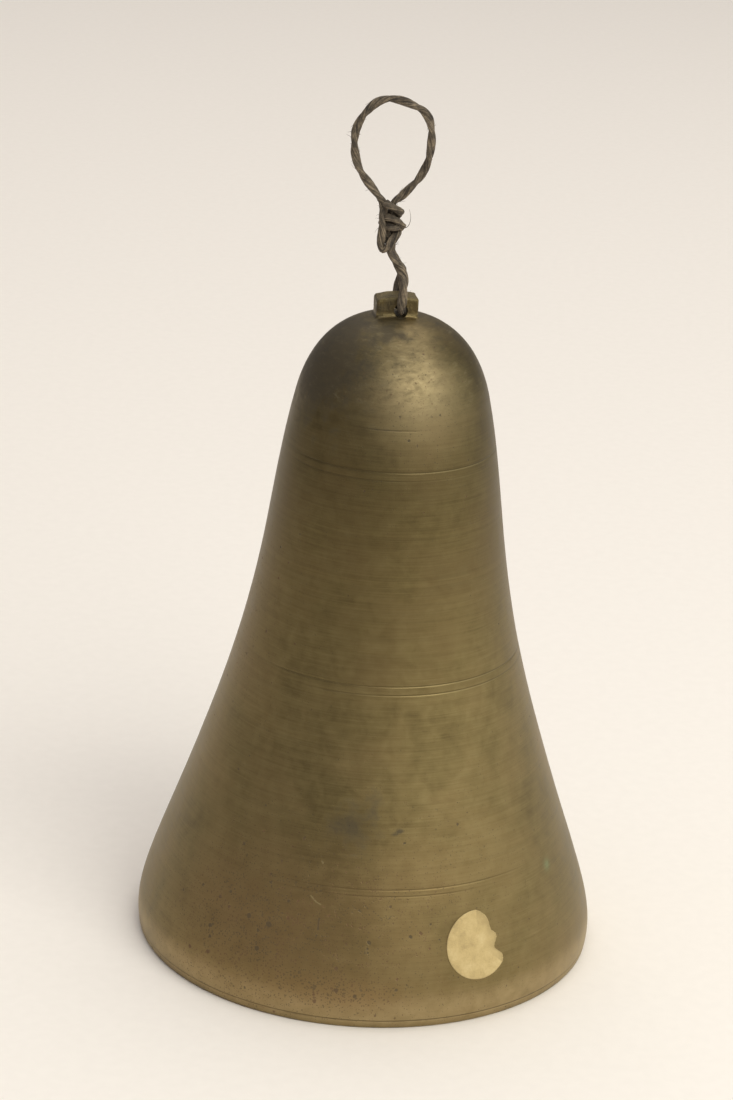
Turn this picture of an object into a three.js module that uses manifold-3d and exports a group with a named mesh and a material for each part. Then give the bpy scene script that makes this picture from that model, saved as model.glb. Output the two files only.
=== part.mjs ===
// A small cast bell that stands on its lip, with an iron clapper hung inside it and a stiff twine loop
// tied through the lug on its crown. Millimetres, +Z up. The origin is on the bell's axis, in the plane of
// the lip. The front of the bell faces -Y, and +X is to the right of someone who looks at the front.

import * as THREE from 'three';
import { mergeVertices } from 'three/addons/utils/BufferGeometryUtils.js';
import Module from 'manifold-3d';

const wasm = await Module();
wasm.setup();

const DEGREE = Math.PI / 180;

// Gap between pieces that touch on the real bell.
const GAP = 0.3;

// Outer profile of the bell: heights above the lip, radii from the axis. A taper is how much the radius
// shrinks for each millimetre of height, and a reach is how far a curve keeps that direction.
const LIP_RADIUS = 42.5;
const BOW_SWELL = 1.8;
const BOW_REACH = 7.5;
const WAIST = { radius: 30.2, height: 44, taper: 0.32, reach: 30 };
const SHOULDER = { radius: 17.5, height: 106, taper: 0.23, reachDown: 20, reachUp: 7.7 };
const APEX_HEIGHT = 121;
const APEX_REACH = 11;

// Wall thickness at the sound bow, at the waist and in the crown.
const BOW_WALL = 3.5;
const WAIST_WALL = 2.4;
const CROWN_WALL = 3.8;
const BOW_TOP = 12;
const CROWN_BOTTOM = 104;

// The inside profile closes on the axis once it comes nearer to it than this.
const ROOF_CENTRE = 1;

// Lug on the crown: a worn block, turned a little about the bell's axis, with a hole from front to back.
const LUG = { centreX: -0.36, yaw: 9 * DEGREE, width: 7.5, depth: 4.6, foot: 119.2 };
const LUG_TOP = { left: 123.9, crest: 124.7, right: 124.2, crestX: -0.3 };
const LUG_WEAR = 0.25;
const HOLE = { offsetX: 0.6, height: 122, radius: 1.15 };

// Iron staple cast into the crown, and the wire link that hangs on it.
const STAPLE = { legX: 4, wireRadius: 1, bottom: 112, top: 118.9 };
const LINK = { ringRadius: 3.6, wireRadius: 0.8 };

// Clapper: an iron rod with a closed eye, and a ball held by a shoulder above and a rivet head below.
const EYE = { ringRadius: 2.6, wireRadius: 1 };
const ROD_RADIUS = 1.2;
const BALL = { height: 17, radius: 8.5, holeRadius: 1.5 };
const COLLAR = { radius: 2.4, thickness: 0.6, taperHeight: 2.6 };
const RIVET = { radius: 2.2, thickness: 1.2 };

// Paper dot near the lip, part of its right edge torn away. Its centre lies at this height and distance from
// the bell's axis, and its outline is cut right through the layer that it is made from.
const LABEL = { radius: 6.3, azimuth: 31.3 * DEGREE, height: 14, fromAxis: 40.5, thickness: 0.2, cut: 12 };
const LABEL_TEAR = [
  [4.74, -4.15], [4.95, -3.47], [4.8, -2.58], [3.89, -1.82], [3.31, -1.22], [3.44, -0.48], [3.94, 0.33],
  [4.09, 1.22], [3.16, 1.97], [2.84, 2.89], [2.73, 3.99], [2.28, 4.85], [1.46, 5.62], [0.5, 6.26],
];

// Twine, with the points that it passes through: from the knot down in front of the lug, through its hole
// and up behind it, and round the loop from the top of the knot. In the hole it is pulled up a little, and
// its points there are shares of the lug's depth.
const TWINE = { radius: 0.75, riseInHole: 0.15, sharesInHole: [-0.45, -0.2, 0, 0.2, 0.45] };
const FRONT_LEG = [
  [-1.75, -0.92, 132.3], [-1.3, -0.92, 131.4], [-0.6, -0.95, 130.3], [0.15, -1.1, 129.2],
  [0.65, -1.65, 128.3], [0.88, -2.65, 127.6], [0.86, -3.3, 126.6], [0.74, -3.34, 125],
  [0.66, -3.28, 123.3], [0.64, -2.66, 122.15],
];
const BACK_LEG = [
  [-0.19, 2.82, 122.15], [-0.28, 3.4, 123.3], [-0.15, 3.5, 125], [0.1, 3.5, 126.6], [0.25, 2.8, 127.8],
  [0.3, 1.7, 128.6], [0.05, 0.98, 129.4], [-0.65, 0.9, 130.4], [-1.4, 0.93, 131.3], [-1.85, 0.95, 132.2],
];
const LOOP = [
  [-1.75, 0.2, 141.2], [-0.6, 0.3, 142.2], [0.8, 0.3, 143.7], [2.4, 0.3, 145.7], [3.5, 0.2, 147.9],
  [4.05, 0, 150.1], [4.2, -0.2, 152.2], [4.1, -0.3, 154.6], [3.5, -0.3, 156.6], [2.3, -0.2, 158],
  [0.3, -0.1, 158.9], [-1.8, 0, 159.5], [-3.8, 0.1, 159.6], [-5.6, 0.2, 158.9], [-7.1, 0.3, 157.5],
  [-8.3, 0.3, 155.8], [-9.05, 0.2, 154], [-9.25, 0.1, 152.1], [-9.1, 0, 150], [-8.6, -0.1, 148],
  [-7.7, -0.2, 146.2], [-6.15, -0.3, 144.2], [-4.75, -0.3, 142.5], [-3.75, -0.2, 141.2],
];
const KNOT = { bottom: [-2.5, 0, 132], height: 9.2, lean: 3 * DEGREE };
const KNOT_RADII = [1.1, 1.8, 2, 1.9, 2, 2.25, 2.3, 1.9, 1.1];

// How finely the round shapes are divided: sides about an axis, and steps along a path or an arc.
const SIDES = { shell: 64, ball: 28, drill: 16, stem: 16, knot: 16, staple: 10, ring: 8, twine: 8 };
const STEPS = {
  profile: 7, bevel: 2, label: 14, ball: 12, ring: 28, bend: 8, staple: 24, bight: 60, loop: 48,
};
const MERGE_DISTANCE = 1e-4;

const COLOURS = {
  bell: { color: 0x77653c, roughness: 0.42, metalness: 0.9 },
  iron: { color: 0x4a4038, roughness: 0.6, metalness: 0.8 },
  twine: { color: 0x74654f, roughness: 0.9, metalness: 0 },
  paper: { color: 0xd6c391, roughness: 0.85, metalness: 0 },
};

// Solids and booleans.

function solidOf(geometry) {
  const bare = geometry.clone();
  bare.deleteAttribute('normal');
  bare.deleteAttribute('uv');
  const merged = mergeVertices(bare, MERGE_DISTANCE);
  const vertProperties = new Float32Array(merged.attributes.position.array);
  const triVerts = new Uint32Array(merged.index.array);
  return new wasm.Manifold(new wasm.Mesh({ numProp: 3, vertProperties, triVerts }));
}

function geometryOf(solid) {
  const mesh = solid.getMesh();
  const geometry = new THREE.BufferGeometry();
  geometry.setAttribute('position', new THREE.BufferAttribute(mesh.vertProperties, 3));
  geometry.setIndex(new THREE.BufferAttribute(mesh.triVerts, 1));
  geometry.computeVertexNormals();
  return geometry;
}

function meshOf(name, geometry, look) {
  const mesh = new THREE.Mesh(geometry, new THREE.MeshStandardMaterial(look));
  mesh.name = name;
  return mesh;
}

// A profile of [radius, height] points turned about the bell's axis.
function turned(points, sides) {
  const profile = points.map(([radius, height]) => new THREE.Vector2(radius, height));
  return new THREE.LatheGeometry(profile, sides).rotateX(Math.PI / 2);
}

function tube(points, radius, steps, sides) {
  const route = new THREE.CatmullRomCurve3(points.map((point) => new THREE.Vector3(...point)));
  const section = new THREE.Shape().absarc(0, 0, radius, 0, 2 * Math.PI);
  const options = { steps, extrudePath: route, curveSegments: sides / 2, bevelEnabled: false };
  return new THREE.ExtrudeGeometry(section, options);
}

// Bell shell.

function outerProfile() {
  const path = new THREE.Path();
  path.moveTo(LIP_RADIUS, 0);
  path.bezierCurveTo(
    LIP_RADIUS + BOW_SWELL, BOW_REACH,
    WAIST.radius + WAIST.taper * WAIST.reach, WAIST.height - WAIST.reach,
    WAIST.radius, WAIST.height,
  );
  path.bezierCurveTo(
    WAIST.radius - WAIST.taper * WAIST.reach, WAIST.height + WAIST.reach,
    SHOULDER.radius + SHOULDER.taper * SHOULDER.reachDown, SHOULDER.height - SHOULDER.reachDown,
    SHOULDER.radius, SHOULDER.height,
  );
  path.bezierCurveTo(
    SHOULDER.radius - SHOULDER.taper * SHOULDER.reachUp, SHOULDER.height + SHOULDER.reachUp,
    APEX_REACH, APEX_HEIGHT,
    0, APEX_HEIGHT,
  );
  return path.getPoints(STEPS.profile).map((point) => [point.x, point.y]);
}

function wallAt(height) {
  const thinning = THREE.MathUtils.smoothstep(height, BOW_TOP, WAIST.height);
  const crowning = THREE.MathUtils.smoothstep(height, CROWN_BOTTOM, APEX_HEIGHT);
  const side = THREE.MathUtils.lerp(BOW_WALL, WAIST_WALL, thinning);
  return THREE.MathUtils.lerp(side, CROWN_WALL, crowning);
}

// Moves each point of a profile that runs from lip to apex sideways by offset(height), outwards if positive.
function offsetProfile(points, offset) {
  return points.map(([radius, height], index) => {
    const [beforeRadius, beforeHeight] = points[Math.max(index - 1, 0)];
    const [afterRadius, afterHeight] = points[Math.min(index + 1, points.length - 1)];
    const alongRadius = afterRadius - beforeRadius;
    const alongHeight = afterHeight - beforeHeight;
    const length = Math.hypot(alongRadius, alongHeight);
    const shift = offset(height);
    return [radius + (shift * alongHeight) / length, height - (shift * alongRadius) / length];
  });
}

function shellBody() {
  const outer = outerProfile();
  const inner = offsetProfile(outer, (height) => -wallAt(height)).slice(1);
  inner.push([0, APEX_HEIGHT - CROWN_WALL]);
  const roof = inner.filter(([radius], index) => radius > ROOF_CENTRE || index === inner.length - 1);
  const lip = [LIP_RADIUS - BOW_WALL, 0];
  return turned([...roof.reverse(), lip, ...outer.slice(0, -1), [0, APEX_HEIGHT]], SIDES.shell);
}

// Puts a geometry made in the lug's own axes (X along its width, Y through its hole) onto the crown.
function onLug(geometry) {
  return geometry.rotateZ(LUG.yaw).translate(LUG.centreX, 0, 0);
}

function lugBlock() {
  const half = LUG.width / 2 - LUG_WEAR;
  const face = new THREE.Shape();
  face.moveTo(-half, LUG.foot);
  face.lineTo(half, LUG.foot);
  face.lineTo(half, LUG_TOP.right - LUG_WEAR);
  face.lineTo(LUG_TOP.crestX, LUG_TOP.crest - LUG_WEAR);
  face.lineTo(-half, LUG_TOP.left - LUG_WEAR);
  const block = new THREE.ExtrudeGeometry(face, {
    depth: LUG.depth - 2 * LUG_WEAR,
    bevelThickness: LUG_WEAR,
    bevelSize: LUG_WEAR,
    bevelSegments: STEPS.bevel,
  });
  block.translate(0, 0, LUG_WEAR - LUG.depth / 2);
  return onLug(block.rotateX(Math.PI / 2));
}

function lugHole() {
  const drill = new THREE.CylinderGeometry(HOLE.radius, HOLE.radius, 2 * LUG.depth, SIDES.drill);
  return onLug(drill.translate(HOLE.offsetX, 0, HOLE.height));
}

function staplePocket(x) {
  const radius = STAPLE.wireRadius + GAP;
  const depth = STAPLE.top + GAP - STAPLE.bottom;
  const pocket = new THREE.CylinderGeometry(radius, radius, depth, SIDES.drill).rotateX(Math.PI / 2);
  return pocket.translate(x, 0, STAPLE.top + GAP - depth / 2);
}

function bellShell() {
  let solid = solidOf(shellBody()).add(solidOf(lugBlock())).subtract(solidOf(lugHole()));
  for (const x of [-STAPLE.legX, STAPLE.legX]) {
    solid = solid.subtract(solidOf(staplePocket(x)));
  }
  return meshOf('bell_shell', geometryOf(solid), COLOURS.bell);
}

// Clapper and what it hangs from.

function crownStaple() {
  const bendHeight = STAPLE.bottom + STAPLE.legX;
  const points = [[-STAPLE.legX, 0, STAPLE.top]];
  for (let step = 0; step <= STEPS.bend; step += 1) {
    const turn = Math.PI * (1 + step / STEPS.bend);
    points.push([STAPLE.legX * Math.cos(turn), 0, bendHeight + STAPLE.legX * Math.sin(turn)]);
  }
  points.push([STAPLE.legX, 0, STAPLE.top]);
  return meshOf('crown_staple', tube(points, STAPLE.wireRadius, STEPS.staple, SIDES.staple), COLOURS.iron);
}

// The link's top passes over the bottom of the staple, and the clapper's eye passes over the link's bottom.
function linkHeight() {
  return STAPLE.bottom + STAPLE.wireRadius + GAP + LINK.wireRadius - LINK.ringRadius;
}

function linkBottom() {
  return linkHeight() - LINK.ringRadius;
}

function eyeHeight() {
  return linkBottom() + LINK.wireRadius + GAP + EYE.wireRadius - EYE.ringRadius;
}

function wireRing({ ringRadius, wireRadius }) {
  return new THREE.TorusGeometry(ringRadius, wireRadius, SIDES.ring, STEPS.ring);
}

function clapperLink() {
  const ring = wireRing(LINK).rotateY(Math.PI / 2);
  const link = meshOf('clapper_link', ring, COLOURS.iron);
  link.position.z = linkHeight();
  return link;
}

function clapperRod() {
  const rivetTop = BALL.height - BALL.radius - GAP;
  const collarBottom = BALL.height + BALL.radius + GAP;
  const collarTop = collarBottom + COLLAR.thickness;
  const eyeBottom = eyeHeight() - EYE.ringRadius;
  const stem = turned([
    [0, rivetTop - RIVET.thickness],
    [RIVET.radius - RIVET.thickness / 2, rivetTop - RIVET.thickness],
    [RIVET.radius, rivetTop - RIVET.thickness / 2],
    [RIVET.radius, rivetTop],
    [ROD_RADIUS, rivetTop],
    [ROD_RADIUS, collarBottom],
    [COLLAR.radius, collarBottom],
    [COLLAR.radius, collarTop],
    [ROD_RADIUS, collarTop + COLLAR.taperHeight],
    [ROD_RADIUS, eyeBottom],
    [0, eyeBottom],
  ], SIDES.stem);
  const ring = wireRing(EYE).rotateX(Math.PI / 2).translate(0, 0, eyeHeight());
  const solid = solidOf(stem).add(solidOf(ring));
  return meshOf('clapper_rod', geometryOf(solid), COLOURS.iron);
}

function clapperBall() {
  const start = Math.asin(BALL.holeRadius / BALL.radius);
  const profile = [];
  for (let step = 0; step <= STEPS.ball; step += 1) {
    const angle = THREE.MathUtils.lerp(start, Math.PI - start, step / STEPS.ball);
    profile.push([BALL.radius * Math.sin(angle), BALL.height - BALL.radius * Math.cos(angle)]);
  }
  profile.push(profile[0]);
  return meshOf('clapper_ball', turned(profile, SIDES.ball), COLOURS.iron);
}

// Twine.

function throughHole() {
  const points = [];
  for (const share of TWINE.sharesInHole) {
    const point = new THREE.Vector3(HOLE.offsetX, share * LUG.depth, HOLE.height + TWINE.riseInHole);
    point.applyAxisAngle(new THREE.Vector3(0, 0, 1), LUG.yaw);
    points.push([point.x + LUG.centreX, point.y, point.z]);
  }
  return points;
}

function twineBight() {
  const points = [...FRONT_LEG, ...throughHole(), ...BACK_LEG];
  return meshOf('twine_bight', tube(points, TWINE.radius, STEPS.bight, SIDES.twine), COLOURS.twine);
}

function twineKnot() {
  const step = KNOT.height / (KNOT_RADII.length + 1);
  const profile = KNOT_RADII.map((radius, index) => [radius, step * (index + 1)]);
  const knot = turned([[0, step / 2], ...profile, [0, KNOT.height - step / 2]], SIDES.knot);
  const mesh = meshOf('twine_knot', knot, COLOURS.twine);
  mesh.position.set(...KNOT.bottom);
  mesh.rotation.y = KNOT.lean;
  return mesh;
}

function twineLoop() {
  return meshOf('twine_loop', tube(LOOP, TWINE.radius, STEPS.loop, SIDES.twine), COLOURS.twine);
}

// Paper label: a thin layer over the flare, cut to the outline of the torn dot.

function labelLayer() {
  const flare = outerProfile().filter(([, height]) => height < WAIST.height);
  const under = offsetProfile(flare, () => GAP);
  const over = offsetProfile(flare, () => GAP + LABEL.thickness);
  return turned([...under.reverse(), ...over, under[0]], SIDES.shell);
}

function labelPrism() {
  const tearStart = Math.atan2(LABEL_TEAR[0][1], LABEL_TEAR[0][0]);
  const tearEnd = Math.atan2(LABEL_TEAR.at(-1)[1], LABEL_TEAR.at(-1)[0]);
  const outline = new THREE.Shape();
  outline.absarc(0, 0, LABEL.radius, tearEnd, tearStart + 2 * Math.PI);
  LABEL_TEAR.forEach(([x, y]) => outline.lineTo(x, y));
  const options = { depth: LABEL.cut, curveSegments: STEPS.label, bevelEnabled: false };
  const prism = new THREE.ExtrudeGeometry(outline, options).translate(0, 0, -LABEL.cut / 2);
  const tilt = Math.atan(WAIST.taper);
  prism.rotateX(Math.PI / 2 - tilt).translate(0, -LABEL.fromAxis, LABEL.height);
  return prism.rotateZ(LABEL.azimuth);
}

function paperLabel() {
  const solid = solidOf(labelLayer()).intersect(solidOf(labelPrism()));
  return meshOf('paper_label', geometryOf(solid), COLOURS.paper);
}

const group = new THREE.Group();
group.add(bellShell(), paperLabel(), crownStaple(), clapperLink(), clapperRod(), clapperBall());

const twine = new THREE.Group();
twine.add(twineBight(), twineKnot(), twineLoop());
group.add(twine);

export default group;
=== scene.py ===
"""The looks of a small cast bell: turned bronze casting, iron clapper, twine loop and torn label."""

import math
import random

import bmesh
import bpy
import numpy as np
from mathutils import Matrix, Vector, noise


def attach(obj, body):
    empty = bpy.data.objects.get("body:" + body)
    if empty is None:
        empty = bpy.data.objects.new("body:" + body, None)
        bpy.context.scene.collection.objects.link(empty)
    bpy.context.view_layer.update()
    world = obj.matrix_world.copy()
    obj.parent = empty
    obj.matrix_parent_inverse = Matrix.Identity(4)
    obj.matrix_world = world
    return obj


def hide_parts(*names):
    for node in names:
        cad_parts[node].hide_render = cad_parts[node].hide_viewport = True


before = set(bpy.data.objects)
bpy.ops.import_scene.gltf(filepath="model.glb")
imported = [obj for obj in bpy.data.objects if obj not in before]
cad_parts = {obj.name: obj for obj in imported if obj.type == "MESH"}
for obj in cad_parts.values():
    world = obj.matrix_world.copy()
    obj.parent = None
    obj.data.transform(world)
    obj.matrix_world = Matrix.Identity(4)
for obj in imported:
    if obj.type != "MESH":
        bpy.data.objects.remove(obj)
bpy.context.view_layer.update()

MM = 0.001
DEGREE = math.pi / 180


# -------- driving dimensions, in millimetres

LIP_RADIUS = 42.5
BOW_SWELL = 1.8
BOW_REACH = 7.5
WAIST_RADIUS, WAIST_HEIGHT, WAIST_TAPER, WAIST_REACH = 30.2, 44.0, 0.32, 30.0
SHOULDER_RADIUS, SHOULDER_HEIGHT, SHOULDER_TAPER = 17.5, 106.0, 0.23
SHOULDER_REACH_DOWN, SHOULDER_REACH_UP = 20.0, 7.7
APEX_HEIGHT, APEX_REACH = 121.0, 11.0
BOW_WALL, WAIST_WALL, CROWN_WALL = 3.5, 2.4, 3.8
BOW_TOP, CROWN_BOTTOM = 12.0, 104.0

LUG_CENTRE = Vector((-0.36, 0.0))
LUG_YAW = 9 * DEGREE
LUG_HALF_WIDTH, LUG_HALF_DEPTH = 3.75, 2.3
LUG_LEFT, LUG_CREST, LUG_RIGHT, LUG_CREST_X = 123.9, 124.7, 124.2, -0.3
LUG_CORNER, LUG_FILLET, LUG_EDGE = 0.45, 0.5, 0.4
HOLE_X, HOLE_HEIGHT, HOLE_RADIUS = 0.6, 122.0, 1.15

STAPLE_LEG_X, STAPLE_WIRE, STAPLE_BOTTOM, STAPLE_TOP = 4.0, 1.0, 112.0, 118.9
LINK_RING, LINK_WIRE = 3.6, 0.8
EYE_RING, EYE_WIRE = 2.6, 1.0
ROD_RADIUS = 1.2
BALL_HEIGHT, BALL_RADIUS, BALL_HOLE = 17.0, 8.5, 1.5
COLLAR_RADIUS, COLLAR_THICKNESS, COLLAR_TAPER = 2.4, 0.6, 2.6
RIVET_RADIUS, RIVET_THICKNESS = 2.2, 1.2
GAP = 0.3

LABEL_RADIUS, LABEL_AZIMUTH, LABEL_HEIGHT = 6.3, 31.3 * DEGREE, 14.0
LABEL_TEAR = [
    (4.74, -4.15), (4.95, -3.47), (4.8, -2.58), (3.89, -1.82), (3.31, -1.22), (3.44, -0.48),
    (3.94, 0.33), (4.09, 1.22), (3.16, 1.97), (2.84, 2.89), (2.73, 3.99), (2.28, 4.85), (1.46, 5.62),
    (0.5, 6.26),
]

RISE_IN_HOLE = 0.15


# -------- camera

def make_camera():
    """Looks at the front of the bell from a little above, as a hand-held camera that isn't quite level."""
    elevation, distance, aim_height = 21.76 * DEGREE, 0.6023, 0.060
    pan, tilt, roll = -0.303 * DEGREE, 1.386 * DEGREE, 3.339 * DEGREE
    data = bpy.data.cameras.new("camera")
    data.sensor_width = 36
    data.lens = 106.43
    camera = put_in_scene("camera", data)
    turn = (
        Matrix.Rotation(math.pi / 2 - elevation, 4, "X")
        @ Matrix.Rotation(-pan, 4, "Y")
        @ Matrix.Rotation(tilt, 4, "X")
        @ Matrix.Rotation(roll, 4, "Z")
    )
    height = aim_height + distance * math.sin(elevation)
    camera.matrix_world = Matrix.Translation((0, -distance * math.cos(elevation), height)) @ turn
    bpy.context.scene.camera = camera


# -------- mesh helpers

def put_in_scene(name, data):
    made = bpy.data.objects.new(name, data)
    bpy.context.scene.collection.objects.link(made)
    return made


def add_object(name, points, faces, material):
    """A smooth-shaded mesh object. Points are in millimetres."""
    mesh = bpy.data.meshes.new(name)
    mesh.from_pydata([tuple(c * MM for c in p) for p in points], [], faces)
    made = bmesh.new()
    made.from_mesh(mesh)
    bmesh.ops.recalc_face_normals(made, faces=made.faces)
    for face in made.faces:
        face.smooth = True
    made.to_mesh(mesh)
    made.free()
    mesh.materials.append(material)
    return put_in_scene(name, mesh)


def place(piece, body, slot, *nodes):
    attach(piece, body)
    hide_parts(*nodes)
    return piece


def set_attribute(piece, name, values):
    layer = piece.data.attributes.new(name, "FLOAT", "POINT")
    layer.data.foreach_set("value", np.asarray(values, np.float32))


def set_vectors(piece, name, values):
    layer = piece.data.attributes.new(name, "FLOAT_VECTOR", "POINT")
    layer.data.foreach_set("vector", np.asarray(values, np.float32).ravel())


def ring_faces(rings, count):
    """Quads between rings of count points each, numbered one ring after another."""
    faces = []
    for ring in range(rings - 1):
        for i in range(count):
            j = (i + 1) % count
            low, high = ring * count, (ring + 1) * count
            faces.append((low + i, low + j, high + j, high + i))
    return faces


def close_tube(points, rings, count, ends=None):
    """Points and faces of a tube of rings: its ends drawn to two more points, or without those, joined."""
    faces = ring_faces(rings, count)
    last = (rings - 1) * count
    if ends is None:
        return points, faces + [(last + i, last + (i + 1) % count, (i + 1) % count, i) for i in range(count)]
    points = points + ends
    start, end = len(points) - 2, len(points) - 1
    faces += [((i + 1) % count, i, start) for i in range(count)]
    faces += [(last + i, last + (i + 1) % count, end) for i in range(count)]
    return points, faces


def lathe(profile, count, closed=False):
    """Points and faces of a (radius, height) profile turned about +Z. An open profile ends on the axis."""
    body = profile if closed else profile[1:-1]
    points = []
    for radius, height in body:
        for i in range(count):
            angle = 2 * math.pi * i / count
            points.append((radius * math.cos(angle), radius * math.sin(angle), height))
    ends = None if closed else [(0, 0, profile[0][1]), (0, 0, profile[-1][1])]
    return close_tube(points, len(body), count, ends)


def frames_along(path):
    """A direction and two sideways axes at each point of a path, turned as little as possible."""
    path = [Vector(p) for p in path]
    frames = []
    side = None
    for i, point in enumerate(path):
        ahead = path[min(i + 1, len(path) - 1)] - path[max(i - 1, 0)]
        ahead.normalize()
        if side is None:
            side = ahead.orthogonal().normalized()
        side = (side - ahead * side.dot(ahead)).normalized()
        frames.append((point, ahead, side, ahead.cross(side)))
    return frames


def sweep(path, section, closed=False):
    """Points and faces of a tube. section(i) gives the outline at point i as (sideways, upwards) pairs."""
    points, count = [], 0
    frames = frames_along(path)
    for i, (centre, _, side, up) in enumerate(frames):
        outline = section(i)
        count = len(outline)
        points += [centre + side * x + up * y for x, y in outline]
    return close_tube(points, len(frames), count, None if closed else [frames[0][0], frames[-1][0]])


def circle(radius, count):
    return [
        (radius * math.cos(2 * math.pi * i / count), radius * math.sin(2 * math.pi * i / count))
        for i in range(count)
    ]


def smooth_path(points, step):
    """A centripetal Catmull-Rom curve through the points, cut into equal steps."""
    knots = [Vector(p) for p in points]
    knots = [2 * knots[0] - knots[1], *knots, 2 * knots[-1] - knots[-2]]
    curve = []
    for a, b, c, d in zip(knots, knots[1:], knots[2:], knots[3:]):
        ta = 0.0
        tb = ta + (b - a).length ** 0.5
        tc = tb + (c - b).length ** 0.5
        td = tc + (d - c).length ** 0.5
        for i in range(24):
            t = tb + (tc - tb) * i / 24
            ab = a * ((tb - t) / (tb - ta)) + b * ((t - ta) / (tb - ta))
            bc = b * ((tc - t) / (tc - tb)) + c * ((t - tb) / (tc - tb))
            cd = c * ((td - t) / (td - tc)) + d * ((t - tc) / (td - tc))
            abc = ab * ((tc - t) / (tc - ta)) + bc * ((t - ta) / (tc - ta))
            bcd = bc * ((td - t) / (td - tb)) + cd * ((t - tb) / (td - tb))
            curve.append(abc * ((tc - t) / (tc - tb)) + bcd * ((t - tb) / (tc - tb)))
    curve.append(knots[-2])
    return even_steps(curve, step)


def even_steps(curve, step):
    lengths = np.cumsum([0.0] + [(b - a).length for a, b in zip(curve, curve[1:])])
    wanted = np.linspace(0, lengths[-1], max(2, round(lengths[-1] / step)))
    columns = [np.interp(wanted, lengths, [p[axis] for p in curve]) for axis in range(3)]
    return [Vector(p) for p in zip(*columns)]


def smoothstep(value, low, high):
    share = np.clip((value - low) / (high - low), 0, 1)
    return share * share * (3 - 2 * share)


def bump_noise(point, scale, seed=0.0):
    """Smooth noise from -1 to 1. The scale is the size of its lumps in millimetres."""
    return noise.noise(Vector(point) / scale + Vector((seed, seed * 1.7, seed * 0.3)))


# -------- node helpers

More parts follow.
